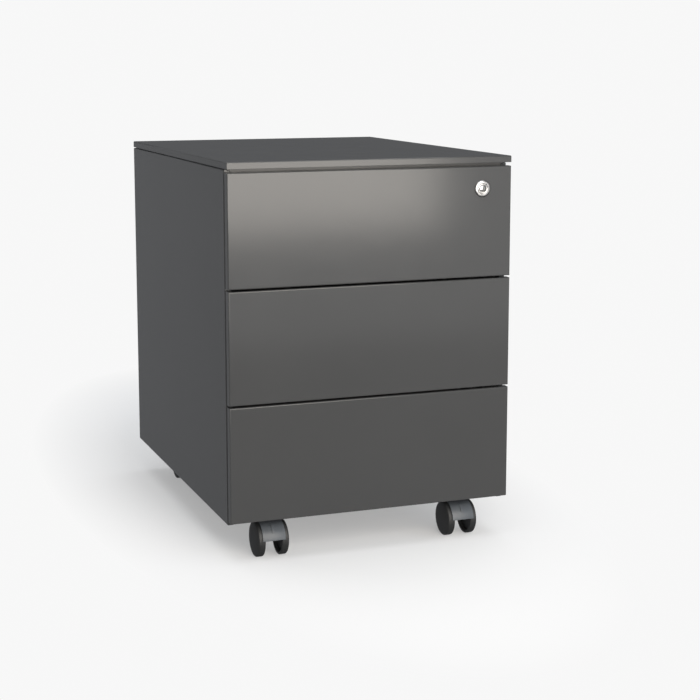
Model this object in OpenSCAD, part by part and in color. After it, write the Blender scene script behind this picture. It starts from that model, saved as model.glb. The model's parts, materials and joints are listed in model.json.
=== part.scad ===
// Three-drawer steel filing pedestal on four twin-wheel castors.
// Millimetres. +X is to the right, +Y to the back and +Z up, seen from in front of the drawers.
// The origin is on the floor, under the middle of the cabinet.

/* [Cabinet] */
// Width over the side panels
cabinet_w = 420; // [350:1:520]
// Depth from the faces of the drawer fronts to the back
cabinet_d = 553; // [460:1:680]
// Height of the sheet steel body, without the castors
body_h = 503.5; // [419:0.5:640]
// Thickness of the folded outer sheet
sheet_t = 1; // [0.7:0.1:1.4]
// Outer radius of a folded edge
bend_r = 1.6; // [1.5:0.1:3]
// Width of the returns folded in at the ends of the panels
return_w = 20; // [14:1:24]

/* [Top panel] */
// Height of the top panel's folded edge
top_h = 9.5; // [8:0.5:25]
// Shadow gap between the top panel's edge and the side panels
top_gap = 1.5; // [1:0.5:4]
// How far the side panels step in below the top panel
top_step = 4; // [3:0.5:7]

/* [Drawer fronts] */
// Gap between the top panel's edge and the upper drawer front
top_reveal = 5.1; // [4:0.1:8]
// Gap between two drawer fronts
front_gap = 3; // [2:0.1:5]
// Height of the lowest front's lower edge above the body's
front_rise = 5.5; // [3:0.5:10]
// How much taller the lowest front is than the two upper ones
lowest_front_extra = 5.8; // [0:0.1:20]
// Thickness of a drawer front
front_t = 12; // [10:0.5:20]
// Gap between the drawer fronts' backs and the body
front_setback = 5; // [4:0.5:8]

/* [Drawer boxes] */
// Thickness of the drawer box sheet
box_t = 0.8; // [0.6:0.1:1.2]
// Height of a box's bottom above its front's lower edge
box_rise = 16; // [14:1:20]
// Height of a front's upper edge above its box's rim
box_drop = 25; // [15:1:30]
// Width of the hem folded in round a box's rim
hem_w = 5; // [4:0.5:8]
// Free depth between a box's back and the cabinet's back panel
box_back_space = 59; // [20:1:80]

/* [Slides] */
// Height of a telescopic slide
slide_h = 35; // [30:1:36]
// Thickness of a telescopic slide
slide_w = 12.7; // [12:0.1:14]
// Thickness of the slide members' steel
slide_t = 1.2; // [1:0.1:1.4]
// Height of a slide's middle above its box's bottom
slide_rise = 20; // [18.5:0.5:24]
// Depth of the uprights that carry the slides
upright_d = 8; // [7:0.5:12]
// Width of an upright
upright_w = 30; // [24:1:40]

/* [Lock] */
// Distance of the lock's axis from the cabinet's right side
lock_inset = 45.1; // [40:0.1:60]
// Depth of the lock's axis below the upper front's upper edge
lock_drop = 31.5; // [28:0.1:36]
// Radius of the lock's ring
lock_ring_r = 12; // [10.5:0.1:14]
// How far the lock's ring stands out of the drawer front
lock_ring_h = 2.4; // [1:0.1:4]
// Radius of the lock's body
lock_body_r = 9.4; // [9:0.1:10.4]
// Radius of the turning plug
plug_r = 7.4; // [6:0.1:8]
// Distance from the lock's axis to its crank pin
crank_r = 8; // [7:0.1:9]
// Radius of the crank pin
crank_pin_r = 2; // [1.5:0.1:2.5]

/* [Castors] */
// Radius of a castor wheel
wheel_r = 25; // [20:0.5:32]
// Width of a wheel's tread
tread_w = 8; // [6:0.5:12]
// How far a wheel's outer face bulges beyond its tread
wheel_bulge = 4.6; // [1:0.1:6]
// Width of a castor's body between its two wheels
castor_core_w = 23.8; // [20:0.1:30]
// Distance from a castor's stem to its axle
castor_trail = 20; // [16:0.5:26]
// Gap between a castor's body and the cabinet
castor_head_gap = 2.5; // [1.5:0.5:6]
// Radius of the part of the stem that a castor turns on
stem_r = 5.5; // [4:0.1:6]
// Radius of an axle
axle_r = 3; // [2.5:0.1:4]
// Distance of a stem from the cabinet's side
castor_inset_x = 65.4; // [55:0.1:90]
// Distance of a stem from the cabinet's front and back
castor_inset_y = 54.5; // [50:0.5:80]

/* [Hidden] */
$fn = 64;
DRAWERS = [1, 2, 3];
SIDES = [-1, 1];
CORNERS = [["front_left", -1, -1], ["front_right", 1, -1], ["rear_left", -1, 1], ["rear_right", 1, 1]];

// Clearances
running = 0.05;    // radial, of a turning fit
seat = 0.02;       // radial, of a fit that doesn't move
free = 0.4;        // between sheet pieces that move past each other
weld_gap = 0.02;   // between the sheets of a drawer box, which spot welds hold together
cut = 1;           // how far a cutting solid runs past what it cuts

// Castors
hood_gap = 0.9;
hood_wall = 1.1;
hood_r = wheel_r + hood_gap + hood_wall;
hood_w = castor_core_w + 9.2;
hood_cut = 3;                                   // the hood ends this far above the axle
hood_rib_w = 4.6;
hood_rib_low = 13;                              // the rib starts this far above the axle
hood_rib_h = 0.9;
wheel_side_gap = 0.3;
castor_top = wheel_r + hood_r;
castor_h = castor_top + castor_head_gap;
stem_boss_r = stem_r + 3.5;
stem_grip = 17.5;                               // length of stem inside the castor's body
stem_thread_r = stem_r - 0.6;
collar_r = stem_r + 3.5;
axle_boss_r = axle_r + 2.5;
axle_grip = 7.5;                                // length of axle inside each wheel

// Body
side_x = cabinet_w / 2;
front_y = -cabinet_d / 2;
back_y = cabinet_d / 2;
body_front_y = front_y + front_t + front_setback;
body_z = castor_h;
top_z = castor_h + body_h;
under_top_z = top_z - top_h;
side_top_z = under_top_z - top_gap;
base_t = 1.2;
base_z = body_z + sheet_t;                      // underside of the base panel
floor_z = base_z + base_t;                      // upper side of the base panel
top_flange_x = side_x - return_w + 2;           // inner edge of the flange that carries the top panel
top_screw_x = side_x - (top_step + return_w) / 2 - 1;
TOP_SCREWS = [body_front_y + 45, 0, back_y - 45];
stem_x = side_x - castor_inset_x;
stem_y = back_y - castor_inset_y;
base_lip_h = 17;
rail_h = 18;

// Drawer fronts, counted from the top
fronts_top_z = under_top_z - top_reveal;
fronts_bottom_z = body_z + front_rise;
front_h = (fronts_top_z - fronts_bottom_z - 2 * front_gap - lowest_front_extra) / 3;
function front_height(n) = n == 3 ? front_h + lowest_front_extra : front_h;
function front_top(n) = fronts_top_z - (n - 1) * (front_h + front_gap);
function front_bottom(n) = front_top(n) - front_height(n);
liner_y = front_y + front_t;                    // back face of a drawer front
liner_flange = 8;

// Slides and uprights
upright_x = side_x - sheet_t - upright_d;
box_x = upright_x - slide_w;
side_return_w = side_x - upright_x - 0.5;       // a slide passes beside the front return
back_inner_y = back_y - 2 * sheet_t;
box_back_y = back_inner_y - box_back_space;
slide_front_y = body_front_y + 3.5;
slide_back_y = box_back_y + 9;
upright_t = 1.2;
upright_front_y = body_front_y + 21.5;
upright_rear_y = box_back_y - 55;
UPRIGHTS = [upright_front_y, upright_rear_y];   // front edges
ball_gap = 2.1;                                 // room for the balls between two members
middle_h = slide_h - 2 * (slide_t + ball_gap);
inner_h = middle_h - 2 * (slide_t + ball_gap + 0.3);
middle_web_u = slide_w / 2 - slide_t / 2 + 0.45;

// Drawer boxes
function box_bottom(n) = front_bottom(n) + box_rise;
function box_rim(n) = n == 1 ? arm_bottom_z - 3.8 : front_top(n) - box_drop;
function slide_z(n) = box_bottom(n) + slide_rise;
BOX_SCREWS = [liner_y + 60, box_back_y - 120];
FRONT_SCREW_XS = [-box_x + 30, -box_x / 3, box_x / 3, box_x - 30];

// Lock
lock_x = side_x - lock_inset;
lock_z = fronts_top_z - lock_drop;
lock_back_y = liner_y + 4.5;                    // rear end of the lock's body
lock_nut_h = 3;
crank_t = 2;
crank_y = lock_back_y;                          // front face of the crank
crank_boss_r = 5.5;
crank_end_r = crank_pin_r + 1.6;
tail_r = 3.5;
crank_screw_r = 1.6;
crank_screw_head_h = 2;
pin_reach = 7.5;
pin_rest = [crank_r * cos(45), -crank_r * sin(45)];   // the pin's place at rest, X and Z from the axis
arm_y = crank_y + crank_t + crank_screw_head_h + 1.5; // front face of the lock bar's arm
plate_t = 2;
slot_play = 0.6;
arm_wall = 4.4;
arm_h = 2 * (crank_pin_r + slot_play + arm_wall);
arm_z = lock_z + pin_rest[1];
arm_bottom_z = arm_z - arm_h / 2;
slot_x0 = lock_x + pin_rest[0] - crank_pin_r - slot_play;
slot_x1 = lock_x + crank_r + crank_pin_r + slot_play;

// Lock bar, its hooks and the catches on the drawers
bar_t = 2.5;
bar_w = 10;
bar_x = upright_x + 3;
bar_y = arm_y - 1.2;
hook_h = 7;
hook_x = box_x + 2.2;
catch_play = 1.5;
catch_y = arm_y + plate_t + catch_play;
catch_h = 10;
catch_reach = 9.7;
catch_base_l = 20;
function hook_z(n) = slide_z(n) + slide_h / 2 + 1.5;
function catch_z(n) = hook_z(n) + hook_h + 1.5;
bar_lift = 2 * crank_r * sin(45);               // travel from unlocked to locked
guide_h = 8;
function guide_z(hook, above) = (hook + hook_h + bar_lift + above - guide_h) / 2;
GUIDE_HEIGHTS = [
    guide_z(hook_z(3), hook_z(2)),
    guide_z(hook_z(2), hook_z(1)),
    guide_z(hook_z(1), arm_bottom_z)
];
guide_wall = 1.2;

// Screws
screw_r = 2;
screw_head_r = 4;
screw_head_h = 1.6;
screw_hole_r = screw_r + seat;

DRAWER_PARTS = ["front", "front_liner", "box", "slides", "screws", "catch"];
CASTOR_PARTS = ["castor_hood", "castor_axle", "castor_left_wheel", "castor_right_wheel"];

// A box between two opposite corners
module block(low, high) {
    translate(low)
        cube(high - low);
}

// What is drawn for the right side, on the side that s names
module on_side(s) {
    if (s > 0)
        children();
    else
        mirror([1, 0, 0])
            children();
}

// A cylinder along X, Y or Z from a point
module rod_x(at, r, length) {
    translate(at)
        rotate([0, 90, 0])
            cylinder(r = r, h = length);
}

module rod_y(at, r, length) {
    translate(at)
        rotate([-90, 0, 0])
            cylinder(r = r, h = length);
}

module rod_z(at, r, length) {
    translate(at)
        cylinder(r = r, h = length);
}

// ---- Folded sheet ----

// A w by h rectangle that stands on its middle, with its upper corners rounded
module folded_profile(w, h, r) {
    difference() {
        translate([-w / 2, 0])
            square([w, h]);
        for (s = SIDES)
            translate([s * (w / 2 - r), h - r])
                difference() {
                    translate([s > 0 ? 0 : -r - cut, 0])
                        square([r + cut, r + cut]);
                    circle(r);
                }
    }
}

// A slab with the four edges of its upper face rounded
module pillow(w, d, h, r) {
    intersection() {
        rotate([90, 0, 0])
            linear_extrude(d, center = true)
                folded_profile(w, h, r);
        rotate([90, 0, 90])
            linear_extrude(w, center = true)
                folded_profile(d, h, r);
    }
}

// A tray of sheet t folded down on four sides, open below
module folded_tray(w, d, h, t, r) {
    difference() {
        pillow(w, d, h, r);
        translate([0, 0, -cut])
            pillow(w - 2 * t, d - 2 * t, h - t + cut, r - t);
    }
}

module top_panel() {
    color("#56585a") {
        translate([0, 0, under_top_z])
            folded_tray(cabinet_w, cabinet_d, top_h, sheet_t, bend_r);
        difference() {
            translate([0, 0, under_top_z])
                difference() {
                    block([-side_x, front_y, 0] + sheet_t * [1, 1, 0],
                          [side_x, back_y, sheet_t] - sheet_t * [1, 1, 0]);
                    block([-side_x, front_y, -cut] + return_w * [1, 1, 0],
                          [side_x, back_y, sheet_t + cut] - return_w * [1, 1, 0]);
                }
            for (s = SIDES, y = TOP_SCREWS)
                rod_z([s * top_screw_x, y, under_top_z - cut], screw_hole_r, sheet_t + 2 * cut);
        }
    }
}

// The side panels step in under the top panel and carry it on an inward flange
module side_panel(s) {
    height = side_top_z - body_z;
    depth = back_y - body_front_y;
    inner_x = side_x - return_w;
    step_x = side_x - top_step;
    color("#4c4e50")
        on_side(s)
            difference() {
                union() {
                    difference() {
                        translate([inner_x, (body_front_y + back_y) / 2, (body_z + side_top_z) / 2])
                            rotate([0, 90, 0])
                                folded_tray(height, depth, return_w, sheet_t, bend_r);
                        // the front return is narrower, and the upper one ends at the step
                        block([inner_x - cut, body_front_y - cut, body_z - cut],
                              [side_x - side_return_w, body_front_y + bend_r, side_top_z + cut]);
                        block([inner_x - cut, body_front_y - cut, side_top_z - bend_r],
                              [step_x - sheet_t, back_y + cut, side_top_z + cut]);
                    }
                    block([step_x - sheet_t, body_front_y + bend_r, side_top_z - sheet_t],
                          [step_x, back_y, under_top_z]);
                    block([top_flange_x, body_front_y + bend_r, under_top_z - sheet_t],
                          [step_x, back_y, under_top_z]);
                }
                for (y = TOP_SCREWS)
                    rod_z([top_screw_x, y, under_top_z - sheet_t - cut], screw_hole_r, sheet_t + 2 * cut);
            }
}

module back_panel() {
    x = side_x - bend_r - free;
    color("#46484a") {
        block([-x, back_inner_y, floor_z], [x, back_y - sheet_t, side_top_z - sheet_t]);
        block([-top_flange_x + free, back_inner_y, side_top_z - sheet_t],
              [top_flange_x - free, back_y - sheet_t, under_top_z]);
        block([-top_flange_x + free, back_inner_y - return_w, under_top_z - sheet_t],
              [top_flange_x - free, back_y - sheet_t, under_top_z]);
    }
}

module base_panel() {
    x = side_x - bend_r - free;
    lip_x = side_x - side_return_w - free;
    color("#46484a")
        difference() {
            union() {
                block([-x, body_front_y + sheet_t, base_z], [x, back_inner_y, floor_z]);
                block([-lip_x, body_front_y, base_z], [lip_x, body_front_y + 2 * sheet_t, floor_z]);
                block([-lip_x, body_front_y, base_z],
                      [lip_x, body_front_y + sheet_t, base_z + base_lip_h]);
            }
            at_each_stem()
                rod_z([0, 0, base_z - cut], stem_thread_r + seat, base_t + 2 * cut);
        }
}

// The rail between the side panels, seen in the gap over the upper drawer
module top_front_rail() {
    x = top_flange_x - free;
    wide_x = side_x - side_return_w - free;
    top_x = side_x - top_step - sheet_t - free;      // above the side panels' front returns
    color("#6a6c6c") {
        block([-wide_x, body_front_y, side_top_z - rail_h], [wide_x, body_front_y + sheet_t, under_top_z]);
        block([-top_x, body_front_y, side_top_z - bend_r + free],
              [top_x, body_front_y + sheet_t, under_top_z]);
        block([-x, body_front_y, under_top_z - sheet_t], [x, body_front_y + return_w, under_top_z]);
        block([-x, body_front_y, side_top_z - rail_h],
              [x, body_front_y + return_w / 2, side_top_z - rail_h + sheet_t]);
    }
}

// The two channels on one side that the slides are screwed to
module uprights(s) {
    top = side_top_z - bend_r - free;
    color("#46484a")
        on_side(s)
            difference() {
                for (y = UPRIGHTS) {
                    block([upright_x, y, floor_z], [upright_x + upright_t, y + upright_w, top]);
                    for (edge = [y, y + upright_w - upright_t])
                        block([upright_x, edge, floor_z],
                              [side_x - sheet_t, edge + upright_t, top]);
                }
                at_slide_screws()
                    rod_x([-cut, 0, 0], screw_hole_r, slide_w);
            }
}

// ---- Slides: cabinet, middle and drawer members, with the balls' rows left as gaps ----

// A slide member: a web and two flanges, where u is the distance out from the drawer box
module channel(n, y0, y1, h, web_u, flange_u0, flange_u1) {
    z = slide_z(n);
    block([box_x + web_u, y0, z - h / 2], [box_x + web_u + slide_t, y1, z + h / 2]);
    for (edge = [z - h / 2, z + h / 2 - slide_t])
        block([box_x + flange_u0, y0, edge], [box_x + flange_u1, y1, edge + slide_t]);
}

module cabinet_slides(n) {
    color("silver")
        for (s = SIDES)
            on_side(s)
                difference() {
                    channel(n, slide_front_y, slide_back_y, slide_h, slide_w - slide_t, 3.5, slide_w);
                    at_slide_screws([n])
                        rod_x([-slide_t - cut, 0, 0], screw_hole_r, slide_t + 2 * cut);
                }
}

module middle_slides(n) {
    color("silver")
        for (s = SIDES)
            on_side(s)
                channel(n, slide_front_y + 1, slide_back_y - 8, middle_h, middle_web_u, 2, slide_w - 1.7);
}

module drawer_slides(n) {
    color("silver")
        for (s = SIDES)
            on_side(s)
                difference() {
                    channel(n, liner_y + 2, box_back_y - 4, inner_h, 0, 0, middle_web_u - 0.6);
                    for (y = BOX_SCREWS)
                        rod_x([box_x - cut, y, slide_z(n)], screw_hole_r, slide_t + 2 * cut);
                }
}

// Pan-head screw along +Z, its head's underside at the origin and its shank below
module screw(length) {
    cylinder(r1 = screw_head_r, r2 = screw_head_r - 1, h = screw_head_h);
    translate([0, 0, -length])
        cylinder(r = screw_r, h = length);
}

// The places where the right side's slides are screwed to the uprights, on the uprights' faces
module at_slide_screws(drawers = DRAWERS) {
    for (n = drawers, y = UPRIGHTS)
        translate([upright_x, y + upright_w / 2, slide_z(n)])
            children();
}

module body_screws() {
    color("gainsboro") {
        for (s = SIDES)
            on_side(s)
                at_slide_screws()
                    translate([-slide_t, 0, 0])
                        rotate([0, -90, 0])
                            screw(slide_t + 5);
        for (s = SIDES, y = TOP_SCREWS)
            translate([s * top_screw_x, y, under_top_z - sheet_t])
                rotate([180, 0, 0])
                    screw(sheet_t + 5);
    }
}

// ---- Drawers ----

module at_front_screws(n) {
    for (x = FRONT_SCREW_XS, z = [box_bottom(n) + 14, box_rim(n) - 14])
        translate([x, liner_y, z])
            children();
}

module drawer_front(n) {
    color("#585a5b")
        difference() {
            translate([0, liner_y, (front_top(n) + front_bottom(n)) / 2])
                rotate([90, 0, 0])
                    folded_tray(cabinet_w, front_height(n), front_t, sheet_t, bend_r);
            if (n == 1)
                rod_y([lock_x, front_y - cut, lock_z], lock_body_r + seat, sheet_t + 2 * cut);
        }
}

module drawer_front_liner(n) {
    x = side_x - sheet_t;
    low = front_bottom(n) + sheet_t;
    high = front_top(n) - sheet_t;
    color("#46484a")
        difference() {
            block([-x, liner_y - liner_flange, low], [x, liner_y, high]);
            block([-x + sheet_t, liner_y - liner_flange - cut, low + sheet_t],
                  [x - sheet_t, liner_y - sheet_t, high - sheet_t]);
            if (n == 1)
                rod_y([lock_x, liner_y - sheet_t - cut, lock_z], lock_body_r + seat, sheet_t + 2 * cut);
            at_front_screws(n)
                rod_y([0, -sheet_t - cut, 0], screw_hole_r, sheet_t + 2 * cut);
        }
}

// The box is five sheets, spot-welded: a bottom, two sides and a back with hems, and a front wall
module drawer_box(n) {
    low = box_bottom(n);
    rim = box_rim(n);
    inner_x = box_x - box_t;
    sheet_x = inner_x - weld_gap;
    hem_x = box_x - hem_w;
    floor_z = low + box_t;
    wall_top = rim - box_t - weld_gap;
    color("#4c4e50") {
        block([-sheet_x, liner_y, low], [sheet_x, box_back_y, floor_z]);
        difference() {
            for (s = SIDES)
                on_side(s) {
                    block([inner_x, liner_y, low], [box_x, box_back_y, rim]);
                    block([hem_x, liner_y, rim - box_t], [box_x, box_back_y, rim]);
                }
            for (s = SIDES, y = BOX_SCREWS)
                on_side(s)
                    rod_x([inner_x - cut, y, slide_z(n)], screw_hole_r, box_t + 2 * cut);
        }
        difference() {
            block([-sheet_x, liner_y, floor_z + weld_gap], [sheet_x, liner_y + box_t, wall_top]);
            at_front_screws(n)
                rod_y([0, -cut, 0], screw_hole_r, box_t + 2 * cut);
        }
        block([-sheet_x, box_back_y - box_t, floor_z + weld_gap], [sheet_x, box_back_y, wall_top]);
        block([weld_gap - hem_x, box_back_y - box_t, floor_z + weld_gap],
              [hem_x - weld_gap, box_back_y, rim]);
        block([weld_gap - hem_x, box_back_y - hem_w, rim - box_t], [hem_x - weld_gap, box_back_y, rim]);
    }
}

module drawer_screws(n) {
    color("gainsboro") {
        at_front_screws(n)
            translate([0, box_t, 0])
                rotate([-90, 0, 0])
                    screw(box_t + sheet_t + 4);
        for (s = SIDES, y = BOX_SCREWS)
            on_side(s)
                translate([box_x + slide_t, y, slide_z(n)])
                    rotate([0, 90, 0])
                        screw(slide_t + box_t + 2);
    }
}

// The lug that the lock bar's hook stands in front of when the cabinet is locked
module drawer_catch(n) {
    z = catch_z(n);
    color("silver") {
        block([box_x, catch_y, z], [box_x + catch_reach, catch_y + plate_t, z + catch_h]);
        block([box_x, catch_y, z], [box_x + slide_t, catch_y + catch_base_l, z + catch_h]);
    }
}

module drawer_bumpers() {
    x = side_x - side_return_w / 2 - 0.3;
    color("#1c1c1c")
        for (s = SIDES, n = DRAWERS, z = [front_bottom(n) + 20, front_top(n) - 20])
            rod_y([s * x, body_front_y - front_setback + 0.2, z], 3.2, front_setback - 0.2);
}

// ---- Lock ----

module lock_housing() {
    color("#d9dadb")
        difference() {
            union() {
                translate([lock_x, front_y, lock_z])
                    rotate([90, 0, 0])
                        cylinder(r1 = lock_ring_r, r2 = lock_ring_r - 1.1, h = lock_ring_h);
                rod_y([lock_x, front_y, lock_z], lock_body_r, lock_back_y - front_y);
            }
            rod_y([lock_x, front_y - lock_ring_h - cut, lock_z], plug_r + running,
                  lock_back_y - front_y + lock_ring_h + 2 * cut);
        }
}

module lock_nut() {
    color("silver")
        difference() {
            translate([lock_x, liner_y, lock_z])
                rotate([-90, 0, 0])
                    cylinder(r = lock_body_r + 3.6, h = lock_nut_h, $fn = 6);
            rod_y([lock_x, liner_y - cut, lock_z], lock_body_r + seat, lock_nut_h + 2 * cut);
        }
}

module lock_plug() {
    face_y = front_y - lock_ring_h - 0.4;
    keyway = [1.6, 7, 9];
    color("#c9cacb")
        difference() {
            union() {
                rod_y([lock_x, face_y, lock_z], plug_r, lock_back_y - face_y);
                rod_y([lock_x, lock_back_y, lock_z], tail_r, crank_t);
            }
            translate([lock_x - keyway[0] / 2, face_y - cut, lock_z - keyway[2] / 2])
                cube([keyway[0], keyway[1] + cut, keyway[2]]);
            rod_y([lock_x, lock_back_y - 5, lock_z], crank_screw_r + seat, 5 + crank_t + cut);
        }
}

module lock_crank() {
    color("silver")
        translate([lock_x, crank_y, lock_z])
            rotate([0, 45, 0])
                difference() {
                    union() {
                        rotate([-90, 0, 0])
                            linear_extrude(crank_t)
                                union() {
                                    circle(crank_boss_r);
                                    translate([0, -crank_end_r])
                                        square([crank_r, 2 * crank_end_r]);
                                    translate([crank_r, 0])
                                        circle(crank_end_r);
                                }
                        rod_y([crank_r, 0, 0], crank_pin_r, crank_t + pin_reach);
                    }
                    rod_y([0, -cut, 0], tail_r + seat, crank_t + 2 * cut);
                }
}

module crank_screw() {
    color("gainsboro")
        difference() {
            union() {
                rod_y([lock_x, crank_y + crank_t - 5, lock_z], crank_screw_r, 5);
                rod_y([lock_x, crank_y + crank_t, lock_z], 4.2, crank_screw_head_h);
            }
            translate([lock_x - 0.5, crank_y + crank_t + crank_screw_head_h - 0.8, lock_z - 5])
                cube([1, 1, 10]);
        }
}

// The bar that the crank lifts, with an arm for the crank pin and one hook per drawer
module lock_bar() {
    bar_low = hook_z(3) - 12;
    arm_x = slot_x0 - arm_wall;
    color("silver")
        difference() {
            union() {
                block([bar_x, bar_y, bar_low], [bar_x + bar_t, bar_y + bar_w, arm_z + arm_h / 2]);
                block([arm_x, arm_y, arm_bottom_z],
                      [bar_x + bar_t, arm_y + plate_t, arm_z + arm_h / 2]);
                for (n = DRAWERS)
                    block([hook_x, arm_y, hook_z(n)], [bar_x + bar_t, arm_y + plate_t, hook_z(n) + hook_h]);
            }
            block([slot_x0, arm_y - cut, arm_z - crank_pin_r - slot_play],
                  [slot_x1, arm_y + plate_t + cut, arm_z + crank_pin_r + slot_play]);
        }
}

module lock_bar_guides() {
    low = [bar_x - free - guide_wall, bar_y - free - guide_wall, 0];
    high = [side_x - sheet_t, bar_y + bar_w + free + guide_wall, 0];
    color("#1c1c1c")
        for (z = GUIDE_HEIGHTS)
            difference() {
                block(low + [0, 0, z], high + [0, 0, z + guide_h]);
                block([bar_x - free, bar_y - free, z - cut],
                      [bar_x + bar_t + free, bar_y + bar_w + free, z + guide_h + cut]);
            }
}

// ---- Castors ----

module at_each_stem() {
    for (c = CORNERS)
        translate([c[1] * stem_x, c[2] * stem_y, 0])
            children();
}

// The axle's middle, in front of the stem
module at_axle() {
    translate([0, -castor_trail, wheel_r])
        rotate([0, 90, 0])
            children();
}

module castor_plates() {
    half = 27;
    color("silver")
        at_each_stem()
            difference() {
                block([-half, -half, floor_z], [half, half, floor_z + 2.5]);
                rod_z([0, 0, floor_z - cut], stem_thread_r + seat, 2.5 + 2 * cut);
            }
}

module castor_stems() {
    color("silver")
        at_each_stem() {
            rod_z([0, 0, castor_top - stem_grip], stem_r, stem_grip + 0.3);
            translate([0, 0, castor_top + 0.3])
                cylinder(r = collar_r, h = base_z - castor_top - 0.3, $fn = 6);
            rod_z([0, 0, base_z], stem_thread_r, 13);
        }
}

module castor_nuts() {
    color("silver")
        at_each_stem()
            difference() {
                translate([0, 0, floor_z + 2.5])
                    cylinder(r = 9.2, h = 7, $fn = 6);
                rod_z([0, 0, floor_z], stem_thread_r + seat, 12);
            }
}

module castor_hood() {
    well_r = wheel_r + hood_gap;
    well_w = hood_w;
    cut_z = wheel_r + hood_cut;
    color("#3a3c40")
        difference() {
            union() {
                intersection() {
                    union() {
                        at_axle()
                            cylinder(r = hood_r, h = hood_w, center = true);
                        intersection() {
                            at_axle()
                                cylinder(r = hood_r + hood_rib_h, h = hood_rib_w, center = true);
                            block([-hood_rib_w, -2 * hood_r - castor_trail, wheel_r + hood_rib_low],
                                  [hood_rib_w, -castor_trail - hood_r / 2, castor_top]);
                        }
                    }
                    block([-hood_w, -2 * hood_r - castor_trail, cut_z], [hood_w, 2 * hood_r, 2 * castor_top]);
                }
                rod_z([0, 0, cut_z], stem_boss_r, hood_r - hood_cut);
                at_axle()
                    cylinder(r = axle_boss_r, h = castor_core_w, center = true);
            }
            for (s = SIDES)
                at_axle()
                    translate([0, 0, s * (castor_core_w + well_w) / 2])
                        cylinder(r = well_r, h = well_w, center = true);
            rod_z([0, 0, castor_top - stem_grip - 1], stem_r + running, stem_grip + 1 + cut);
            at_axle()
                cylinder(r = axle_r + seat, h = castor_core_w + 2, center = true);
        }
}

module castor_axle() {
    color("silver")
        at_axle()
            cylinder(r = axle_r, h = castor_core_w + 2 * (wheel_side_gap + axle_grip), center = true);
}

// A wheel: an outer disc with a tread ring and a hub, open towards the castor's body
module castor_wheel() {
    w = tread_w + wheel_bulge;
    inner_x = castor_core_w / 2 + wheel_side_gap;
    color("#2c2d30")
        translate([inner_x, -castor_trail, wheel_r])
            rotate([0, 90, 0])
                rotate_extrude()
                    difference() {
                        polygon([
                            [0, 0], [wheel_r - 0.8, 0], [wheel_r, 0.8], [wheel_r, tread_w - 1.6],
                            [wheel_r - 0.5, tread_w - 0.4], [wheel_r - 1.8, tread_w + 0.4],
                            [wheel_r - 6, w], [0, w]
                        ]);
                        polygon([
                            [axle_r + 3.5, -cut], [wheel_r - 3, -cut],
                            [wheel_r - 3.5, tread_w - 2.5], [axle_r + 3.5, tread_w - 2.5]
                        ]);
                        translate([0, -cut])
                            square([axle_r + running, axle_grip + 0.5 + cut]);
                    }
}

module castor_part(part) {
    if (part == "castor_hood")
        castor_hood();
    if (part == "castor_axle")
        castor_axle();
    if (part == "castor_left_wheel")
        on_side(-1)
            castor_wheel();
    if (part == "castor_right_wheel")
        castor_wheel();
}

module drawer_part(n, part) {
    if (part == "front")
        drawer_front(n);
    if (part == "front_liner")
        drawer_front_liner(n);
    if (part == "box")
        drawer_box(n);
    if (part == "slides")
        drawer_slides(n);
    if (part == "screws")
        drawer_screws(n);
    if (part == "catch")
        drawer_catch(n);
}

top_panel();
side_panel(-1);  // left_side_panel
side_panel(1);  // right_side_panel
back_panel();
base_panel();
top_front_rail();
uprights(-1);  // left_uprights
uprights(1);  // right_uprights
castor_plates();
castor_stems();
castor_nuts();
body_screws();
lock_bar_guides();
drawer_bumpers();
lock_housing();
lock_nut();
lock_plug();
lock_crank();
crank_screw();
lock_bar();
for (n = DRAWERS) cabinet_slides(n);
for (n = DRAWERS) middle_slides(n);
for (n = DRAWERS, part = DRAWER_PARTS)
    drawer_part(n, part);
for (c = CORNERS, part = CASTOR_PARTS)
    translate([c[1] * stem_x, c[2] * stem_y, 0])
            castor_part(part);
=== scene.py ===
"""Looks of the three-drawer steel pedestal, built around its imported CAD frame.

Everything is in metres in the CAD frame: +X to the right, +Y to the back, +Z up, seen from in front of the
drawers, with the origin on the floor under the middle of the cabinet.
"""
import json
import math

import bmesh
import bpy
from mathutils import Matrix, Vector

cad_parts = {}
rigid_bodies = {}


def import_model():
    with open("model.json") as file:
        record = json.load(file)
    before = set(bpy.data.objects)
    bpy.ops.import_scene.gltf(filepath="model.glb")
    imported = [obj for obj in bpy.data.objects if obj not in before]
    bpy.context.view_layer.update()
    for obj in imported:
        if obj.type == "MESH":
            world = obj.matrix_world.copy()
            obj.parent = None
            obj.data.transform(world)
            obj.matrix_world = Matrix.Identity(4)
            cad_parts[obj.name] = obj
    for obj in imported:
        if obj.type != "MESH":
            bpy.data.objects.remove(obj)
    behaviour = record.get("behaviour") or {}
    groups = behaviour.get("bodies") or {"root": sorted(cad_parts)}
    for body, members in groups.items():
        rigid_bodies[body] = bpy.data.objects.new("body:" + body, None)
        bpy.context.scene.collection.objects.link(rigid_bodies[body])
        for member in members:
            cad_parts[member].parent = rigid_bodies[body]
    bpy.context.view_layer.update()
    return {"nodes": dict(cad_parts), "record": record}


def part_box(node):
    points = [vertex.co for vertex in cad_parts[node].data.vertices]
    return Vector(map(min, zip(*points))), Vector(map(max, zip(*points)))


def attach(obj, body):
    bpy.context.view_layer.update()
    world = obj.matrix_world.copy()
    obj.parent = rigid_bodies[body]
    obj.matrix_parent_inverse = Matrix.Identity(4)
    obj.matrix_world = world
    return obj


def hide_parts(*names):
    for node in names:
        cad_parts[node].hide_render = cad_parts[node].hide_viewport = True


for leftover in list(bpy.data.objects):
    bpy.data.objects.remove(leftover)
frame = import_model()
NODES = frame["nodes"]
MM = 0.001

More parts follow.
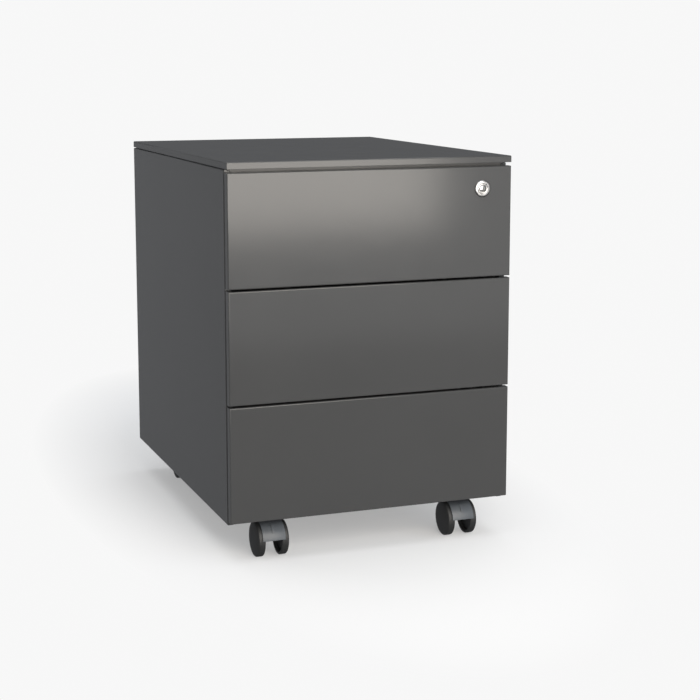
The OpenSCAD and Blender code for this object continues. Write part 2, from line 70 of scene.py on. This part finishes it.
# The studio. Brightnesses are linear, and lengths are in metres.
BACKGROUND = 0.934              # what the camera sees as white
DOME = 0.4                      # the light from all round that is not a soft box
FLOOR_WHITE = 0.825             # how much light the floor near the cabinet sends back
FLOOR_GLOW = 0.35               # how much of the floor's white near the cabinet is its own
FADE_SHAPE = (2.79, 1.15, 1)    # the floor turns white sooner at the sides than in front and behind
FADE_MIDDLE = (0.045, 0.22, 0)  # the middle of the fade, after FADE_SHAPE has scaled it
FADE_START, FADE_END = 0.666, 1.1   # distances from FADE_MIDDLE, where the fade begins and is complete

EDGE_RADIUS = 0.3 * MM          # of the CAD nodes' softened edges
WELD_DISTANCE = 1e-6


# ---- Camera ----

def make_camera():
    """The photograph's viewpoint: from the front left, a little above the cabinet's top."""
    cam = bpy.data.objects.new("camera", bpy.data.cameras.new("camera"))
    bpy.context.scene.collection.objects.link(cam)
    cam.data.sensor_width = 36
    cam.data.lens = 80.55
    cam.data.shift_y = -0.08
    cam.location = (-0.7876, -2.2823, 0.6991)
    turned_right, tilted_down = math.radians(20.564), math.radians(8.68)
    cam.rotation_euler = (math.pi / 2 - tilted_down, 0, -turned_right)
    bpy.context.scene.camera = cam


# ---- Node helpers ----

class Graph:
    """A node tree with short calls for adding nodes and links."""

    def __init__(self, owner):
        owner.use_nodes = True
        self.tree = owner.node_tree
        self.tree.nodes.clear()

    def add(self, kind, settings=None, **inputs):
        """A node. settings are its properties, and inputs are values or the sockets that they come from."""
        node = self.tree.nodes.new("ShaderNode" + kind)
        for key, value in (settings or {}).items():
            setattr(node, key, value)
        for key, value in inputs.items():
            self.put(node, key.replace("_", " "), value)
        return node

    def put(self, node, socket, value):
        target = node.inputs[int(socket)] if socket.isdigit() else node.inputs[socket]
        if isinstance(value, bpy.types.NodeSocket):
            self.tree.links.new(value, target)
        else:
            target.default_value = value

    def math(self, operation, a, b):
        node = self.add("Math", {"operation": operation})
        self.put(node, "0", a)
        self.put(node, "1", b)
        return node.outputs[0]

    def remap(self, value, low, high, to_low, to_high):
        """Low becomes to_low and high becomes to_high, evenly between them and held there beyond them."""
        node = self.add("MapRange", {"clamp": True}, Value=value)
        for key, number in (("1", low), ("2", high), ("3", to_low), ("4", to_high)):
            self.put(node, key, number)
        return node.outputs[0]

    def noise(self, where, size, detail, stretch=(1, 1, 1)):
        """Noise with blotches about size metres across. A larger stretch makes them finer on its axis."""
        scaled = self.add("Mapping", Vector=where)
        scaled.inputs["Scale"].default_value = stretch
        node = self.add("TexNoise", Vector=scaled.outputs[0], Scale=1 / size, Detail=detail)
        return node.outputs["Fac"]

    def mottle(self, colour, where, darkest, lightest):
        """The colour, between two multiples of itself as where goes from 0 to 1."""
        mix = self.add("MixRGB", {"blend_type": "MIX"}, Fac=where)
        self.put(mix, "Color1", tuple(c * darkest for c in colour[:3]) + (1,))
        self.put(mix, "Color2", tuple(c * lightest for c in colour[:3]) + (1,))
        return mix.outputs[0]

    def show(self, shader, output="OutputMaterial"):
        self.put(self.add(output), "Surface", shader.outputs[0])


def grey(value, tint=(1, 1, 1)):
    """A linear colour with its alpha."""
    return tuple(value * t for t in tint) + (1,)


# ---- Materials ----

def painted_steel(name, colour, roughness, grain):
    """Baked satin paint: even colour, a faint orange peel, and a finer grain."""
    material = bpy.data.materials.new(name)
    g = Graph(material)
    where = g.add("TexCoord").outputs["Object"]
    shade = g.mottle(colour, g.noise(where, 0.12, 3), 0.95, 1.05)
    peel = g.noise(where, 1.6 * MM, 1)
    fine = g.noise(where, 0.35 * MM, 1)
    height = g.math("ADD", g.math("MULTIPLY", peel, 0.6), g.math("MULTIPLY", fine, 0.4))
    bump = g.add("Bump", Strength=grain, Distance=0.06 * MM, Height=height)
    shader = g.add("BsdfPrincipled", Normal=bump.outputs[0], IOR=1.5)
    g.put(shader, "Base Color", shade)
    g.put(shader, "Roughness", g.remap(g.noise(where, 0.03, 2), 0.3, 0.7, roughness * 0.93, roughness * 1.07))
    g.show(shader)
    return material


def plated_steel(name, colour, roughness, stretch):
    """Bright zinc plate over rolled steel: long faint streaks and a cloudy sheen."""
    material = bpy.data.materials.new(name)
    g = Graph(material)
    where = g.add("TexCoord").outputs["Object"]
    streak = g.noise(where, 0.6 * MM, 3, stretch)
    shade = g.mottle(colour, g.noise(where, 0.02, 3), 0.9, 1.06)
    bump = g.add("Bump", Strength=0.25, Distance=0.02 * MM, Height=streak)
    shader = g.add("BsdfPrincipled", Metallic=1.0, Normal=bump.outputs[0])
    g.put(shader, "Base Color", shade)
    g.put(shader, "Roughness", g.remap(streak, 0.3, 0.7, roughness * 0.8, roughness * 1.25))
    g.show(shader)
    return material


def chrome(name, colour, roughness):
    """Polished plate with hairline scratches."""
    material = bpy.data.materials.new(name)
    g = Graph(material)
    where = g.add("TexCoord").outputs["Object"]
    hairs = g.noise(where, 0.25 * MM, 2, (1, 1, 8))
    bump = g.add("Bump", Strength=0.08, Distance=0.01 * MM, Height=hairs)
    shader = g.add("BsdfPrincipled", Metallic=1.0, Normal=bump.outputs[0])
    g.put(shader, "Base Color", colour)
    g.put(shader, "Roughness", g.remap(hairs, 0.3, 0.7, roughness * 0.7, roughness * 1.3))
    g.show(shader)
    return material


def moulded(name, colour, roughness, grain):
    """Moulded plastic or rubber: a fine spark-eroded grain."""
    material = bpy.data.materials.new(name)
    g = Graph(material)
    where = g.add("TexCoord").outputs["Object"]
    speck = g.noise(where, 0.5 * MM, 2)
    shade = g.mottle(colour, g.noise(where, 0.01, 2), 0.9, 1.1)
    bump = g.add("Bump", Strength=grain, Distance=0.05 * MM, Height=speck)
    shader = g.add("BsdfPrincipled", Normal=bump.outputs[0])
    g.put(shader, "Base Color", shade)
    g.put(shader, "Roughness", g.remap(speck, 0.3, 0.7, roughness * 0.9, roughness * 1.1))
    g.show(shader)
    return material


ALONG_Y = (8, 0.2, 8)       # the stretch for streaks that run along Y, as rolling leaves them on the slides
MATERIALS = {
    "body_paint": painted_steel("body paint", grey(0.052, (0.99, 1, 1.01)), 0.15, 0.25),
    "front_paint": painted_steel("front paint", grey(0.0545, (1, 1.01, 1.02)), 0.13, 0.2),
    "inner_paint": painted_steel("inner paint", grey(0.055), 0.3, 0.3),
    "zinc_steel": plated_steel("zinc steel", grey(0.6, (0.98, 1, 1.01)), 0.3, ALONG_Y),
    "screw_steel": plated_steel("screw steel", grey(0.65), 0.25, (1, 1, 1)),
    "lock_chrome": chrome("lock chrome", grey(0.62), 0.27),
    "plug_chrome": chrome("plug chrome", grey(0.56), 0.24),
    "castor_plastic": moulded("castor plastic", grey(0.085, (0.9, 1, 1.12)), 0.4, 0.3),
    "wheel_plastic": moulded("wheel plastic", grey(0.022, (0.97, 1, 1.04)), 0.5, 0.3),
    "buffer_rubber": moulded("buffer rubber", grey(0.012), 0.6, 0.4),
}


def paint_nodes():
    """Gives each CAD node the material of its slot in the record."""
    for part in frame["record"]["subparts"]:
        mesh = NODES[part["node"]].data
        mesh.materials.clear()
        mesh.materials.append(MATERIALS[part["material_slot"]])


def soften(node):
    """Breaks a CAD node's sharp edges, as folding, moulding or painting does."""
    weld = NODES[node].modifiers.new("weld", "WELD")
    weld.merge_threshold = WELD_DISTANCE
    bevel = NODES[node].modifiers.new("edges", "BEVEL")
    bevel.width = EDGE_RADIUS
    bevel.segments = 2
    bevel.limit_method = "ANGLE"
    bevel.angle_limit = math.radians(40)
    bevel.use_clamp_overlap = True
    # hardened normals leave a seam down the middle of a castor's round hood
    bevel.harden_normals = not node.endswith("castor_hood")


# ---- Turned and moulded pieces ----

def arc(middle, radius, start, end, steps=6):
    """Points (r, h) on an arc about middle, from one angle to another in degrees."""
    angles = [math.radians(start + (end - start) * i / steps) for i in range(steps + 1)]
    return [(middle[0] + radius * math.cos(a), middle[1] + radius * math.sin(a)) for a in angles]


def add_mesh(name, bm):
    """A new object in the scene with the mesh built in bm."""
    bmesh.ops.recalc_face_normals(bm, faces=bm.faces)
    mesh = bpy.data.meshes.new(name)
    bm.to_mesh(mesh)
    bm.free()
    added = bpy.data.objects.new(name, mesh)
    bpy.context.scene.collection.objects.link(added)
    return added


def turned(name, profile, middle, along, segments=96):
    """A lathe-turned piece. profile is (radius, height) in mm, and the heights run up the axis along."""
    up = Vector(along).normalized()
    u = up.orthogonal().normalized()
    v = up.cross(u)
    bm = bmesh.new()
    rings = []
    for r, h in profile:
        centre = Vector(middle) + up * h * MM
        if r == 0:
            rings.append([bm.verts.new(centre)] * segments)
            continue
        turns = [2 * math.pi * i / segments for i in range(segments)]
        rings.append([bm.verts.new(centre + (u * math.cos(t) + v * math.sin(t)) * r * MM) for t in turns])
    closed = profile[0][0] != 0
    for ring, following in zip(rings, rings[1:] + (rings[:1] if closed else [])):
        for i in range(segments):
            j = (i + 1) % segments
            corners = dict.fromkeys((ring[i], ring[j], following[j], following[i]))
            if len(corners) > 2:
                bm.faces.new(list(corners))
    piece = add_mesh(name, bm)
    piece.data.polygons.foreach_set("use_smooth", [True] * len(piece.data.polygons))
    piece.data.set_sharp_from_angle(angle=math.radians(38))
    return piece


def carve(piece, cutter):
    """Cuts one mesh out of another and drops the cutter."""
    cut = piece.modifiers.new("cut", "BOOLEAN")
    cut.object = cutter
    cut.solver = "EXACT"
    shape = bpy.data.meshes.new_from_object(piece.evaluated_get(bpy.context.evaluated_depsgraph_get()))
    piece.modifiers.clear()
    piece.data = shape
    bpy.data.objects.remove(cutter)


def slot_cutter(middle, width, height, depth):
    """An upright slot with round ends, which runs back along +Y from its middle. Its sizes are in mm."""
    bm = bmesh.new()
    r = width / 2
    straight = height / 2 - r
    outline = [(x, z + straight) for x, z in arc((0, 0), r, 0, 180, 12)]
    outline += [(x, z - straight) for x, z in arc((0, 0), r, 180, 360, 12)]
    front = [bm.verts.new(Vector(middle) + Vector((x, 0, z)) * MM) for x, z in outline]
    face = bm.faces.new(front)
    body = bmesh.ops.extrude_face_region(bm, geom=[face])["geom"]
    back = [v for v in body if isinstance(v, bmesh.types.BMVert)]
    bmesh.ops.translate(bm, verts=back, vec=(0, depth * MM, 0))
    return add_mesh("slot cutter", bm)


def finish_piece(piece, body, node, slot):
    """Rides the piece on its body, in the place of its CAD node and in its slot's material."""
    piece.data.materials.clear()
    piece.data.materials.append(MATERIALS[slot])
    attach(piece, body)
    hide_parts(node)


def make_lock():
    """The lock's ring with its rounded edge, and its plug with a groove round the keyway. Sizes are in mm."""
    ring_lo, ring_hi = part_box("lock_housing")
    plug_lo, plug_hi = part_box("lock_plug")
    front_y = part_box("drawer_1_front")[0].y
    middle = ((ring_lo.x + ring_hi.x) / 2, front_y, (ring_lo.z + ring_hi.z) / 2)
    out_of_front = (0, -1, 0)

    ring_r = (ring_hi.x - ring_lo.x) / 2 / MM
    plug_r = (plug_hi.x - plug_lo.x) / 2 / MM
    inside_r = plug_r + 0.05
    barrel_r = plug_r + 2
    edge_r = 2.2
    ring_face = (front_y - ring_lo.y) / MM
    ring_back = (front_y - ring_hi.y) / MM
    ring = [(inside_r, ring_back), (barrel_r, ring_back), (barrel_r, 0), (ring_r, 0), (ring_r, 0.4)]
    ring += arc((ring_r - edge_r, 0.2), edge_r, 15, 65, 6)
    ring += [(ring_r - 2.6, ring_face), (plug_r + 0.9, ring_face), (plug_r + 0.6, ring_face - 0.3)]
    ring += [(plug_r + 0.5, ring_face - 1.2), (inside_r, ring_face - 1.4)]
    piece = turned("lock_ring_turned", ring, middle, out_of_front)
    finish_piece(piece, "upper_drawer", "lock_housing", "lock_chrome")

    plug_face = (front_y - plug_lo.y) / MM
    tail_end = (front_y - plug_hi.y) / MM
    tail_r, tail_length = 3.5, 2
    bore_r, bore_end = 1.65, ring_back + 5
    groove_out, groove_in, groove_floor = 5.5, 4.5, plug_face - 4
    dome_r, dome_h = 4.2, 0.6
    plug = [(0, bore_end), (bore_r, bore_end), (bore_r, tail_end), (tail_r, tail_end)]
    plug += [(tail_r, tail_end + tail_length), (plug_r, ring_back), (plug_r, plug_face - 1.4)]
    plug += [(plug_r - 0.4, plug_face - 0.6), (5.9, plug_face - 0.4), (5.6, plug_face - 0.5)]
    plug += [(groove_out, groove_floor), (groove_in, groove_floor), (4.4, plug_face - 0.7)]
    plug += [(r, plug_face - dome_h * (r / dome_r) ** 2) for r in (dome_r, 3.6, 2.7, 1.6, 0)]
    piece = turned("lock_plug_turned", plug, middle, out_of_front)
    keyway_w, keyway_h, keyway_depth = 1.3, 7.6, 7
    carve(piece, slot_cutter((middle[0], plug_lo.y - MM, middle[2]), keyway_w, keyway_h, keyway_depth))
    finish_piece(piece, "lock_plug", "lock_plug", "plug_chrome")


def wheel_profile(wheel_r, width):
    """A castor wheel from its inner side outwards: bore, hub, dish, tread and domed face. Sizes are in mm."""
    bore_r, bore_depth = 3.05, 8
    hub_r, dish_depth = 6.2, 5.5
    profile = [(0, bore_depth), (bore_r, bore_depth), (bore_r, 0.4), (bore_r + 0.4, 0), (hub_r, 0)]
    profile += [(hub_r + 0.4, 0.4), (hub_r + 1, dish_depth), (wheel_r - 4.4, dish_depth)]
    profile += [(wheel_r - 3.6, 0.5), (wheel_r - 3.2, 0)]
    profile += arc((wheel_r - 1, 1), 1, -90, 0, 5)
    shoulder_r, face_h = 2.6, 4.9
    profile += arc((wheel_r - shoulder_r, width - face_h), shoulder_r, 0, 68, 8)
    rim_r, rim_h = profile[-1]
    to_middle = (0.97, 0.92, 0.85, 0.75, 0.62, 0.45, 0.25, 0)
    profile += [(rim_r * k, width - (width - rim_h) * k ** 3.2) for k in to_middle]
    return profile


def make_wheels():
    """Castor wheels with a domed outer face, a round-shouldered tread and a dished inner face."""
    for corner in ("front_left", "front_right", "rear_left", "rear_right"):
        for side, outwards in (("left", -1), ("right", 1)):
            node = f"{corner}_castor_{side}_wheel"
            lo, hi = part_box(node)
            inner_x = hi.x if outwards < 0 else lo.x
            middle = (inner_x, (lo.y + hi.y) / 2, (lo.z + hi.z) / 2)
            profile = wheel_profile((hi.z - lo.z) / 2 / MM, (hi.x - lo.x) / MM)
            piece = turned(f"{node}_moulded", profile, middle, (outwards, 0, 0))
            finish_piece(piece, f"{corner}_{side}_wheel", node, "wheel_plastic")


# ---- Studio ----

def make_floor():
    """A pale floor that passes into the background's white far from the cabinet."""
    bpy.ops.mesh.primitive_circle_add(vertices=96, radius=30, fill_type="NGON")
    floor = bpy.context.object
    floor.name = "floor"
    material = bpy.data.materials.new("pale floor")
    g = Graph(material)
    where = g.add("TexCoord").outputs["Object"]
    scaled = g.add("VectorMath", {"operation": "MULTIPLY"})
    g.put(scaled, "0", where)
    g.put(scaled, "1", FADE_SHAPE)
    away = g.add("VectorMath", {"operation": "DISTANCE"})
    g.put(away, "0", scaled.outputs[0])
    g.put(away, "1", FADE_MIDDLE)
    far = g.remap(away.outputs["Value"], FADE_START, FADE_END, FLOOR_GLOW, 1)
    near = g.add("BsdfDiffuse", Color=grey(FLOOR_WHITE))
    white = g.add("Emission", Color=grey(BACKGROUND))
    mix = g.add("MixShader", Fac=far)
    g.put(mix, "1", near.outputs[0])
    g.put(mix, "2", white.outputs[0])
    g.show(mix)
    floor.data.materials.append(material)
    floor.visible_glossy = False


def make_world():
    """White behind the cabinet, a soft cool dome for its light, and a dim studio in its reflections."""
    world = bpy.data.worlds.new("studio")
    bpy.context.scene.world = world
    g = Graph(world)
    path = g.add("LightPath")
    direction = g.add("SeparateXYZ", Vector=g.add("TexCoord").outputs["Generated"])
    from_left = g.remap(direction.outputs["X"], -0.25, 0.2, 0.24, 0.115)
    from_behind = g.remap(direction.outputs["Y"], -0.2, 0.3, 0.25, 1)
    from_low = g.remap(direction.outputs["Z"], -0.35, -0.1, 0.8, 1)
    dim = g.math("MULTIPLY", g.math("MULTIPLY", from_left, from_behind), from_low)
    studio = g.add("Background", Strength=dim, Color=grey(1, (0.98, 1, 1.04)))
    dome = g.add("Background", Color=grey(DOME, (0.97, 1, 1.04)))
    seen = g.add("Background", Color=grey(BACKGROUND))
    light = g.add("MixShader", Fac=path.outputs["Is Glossy Ray"])
    g.put(light, "1", dome.outputs[0])
    g.put(light, "2", studio.outputs[0])
    shown = g.add("MixShader", Fac=path.outputs["Is Camera Ray"])
    g.put(shown, "1", light.outputs[0])
    g.put(shown, "2", seen.outputs[0])
    g.show(shown, "OutputWorld")


def make_panel(name, middle, aim, width, height, radiance, tint=(1, 1, 1), diffuse=True, glossy=True):
    """A soft box: a rectangle of even brightness that faces the point it aims at."""
    lamp = bpy.data.lights.new(name, "AREA")
    lamp.shape = "RECTANGLE"
    lamp.size, lamp.size_y = width, height
    lamp.energy = radiance * math.pi * width * height
    lamp.color = tint
    panel = bpy.data.objects.new(name, lamp)
    bpy.context.scene.collection.objects.link(panel)
    panel.location = middle
    panel.rotation_mode = "QUATERNION"
    panel.rotation_quaternion = (Vector(aim) - Vector(middle)).to_track_quat("-Z", "Y")
    panel.visible_camera = False
    panel.visible_diffuse = diffuse
    panel.visible_glossy = glossy


def make_lights():
    """A warm soft box in front for the fronts' sheen, a cool one from the right, and one overhead."""
    key_size, key_low, key_right, key_y = 2.0, 0.2, 1.08, -2.5
    key_x, key_z = key_right - key_size / 2, key_low + key_size / 2
    make_panel("key", (key_x, key_y, key_z), (key_x, 0, key_z), key_size, key_size, 5.2, (1, 0.94, 0.86))
    make_panel("side fill", (2.3, -1.9, 1.1), (0, 0, 0.3), 2.0, 1.8, 3.0, (0.93, 1, 1.07), glossy=False)
    make_panel("top", (0, 0, 2.3), (0, 0, 0), 2.2, 2.2, 1.8, (0.98, 1, 1.02))
    make_panel("front card", (0.6, -1.84, 1.0), (0.6, 0, 1.0), 3.0, 2.0, 0.6, diffuse=False)


make_camera()
paint_nodes()
make_lock()
make_wheels()
for body_node in NODES:
    soften(body_node)
make_floor()
make_world()
make_lights()
scene = bpy.context.scene
scene.view_settings.view_transform = "Standard"
scene.view_settings.look = "None"
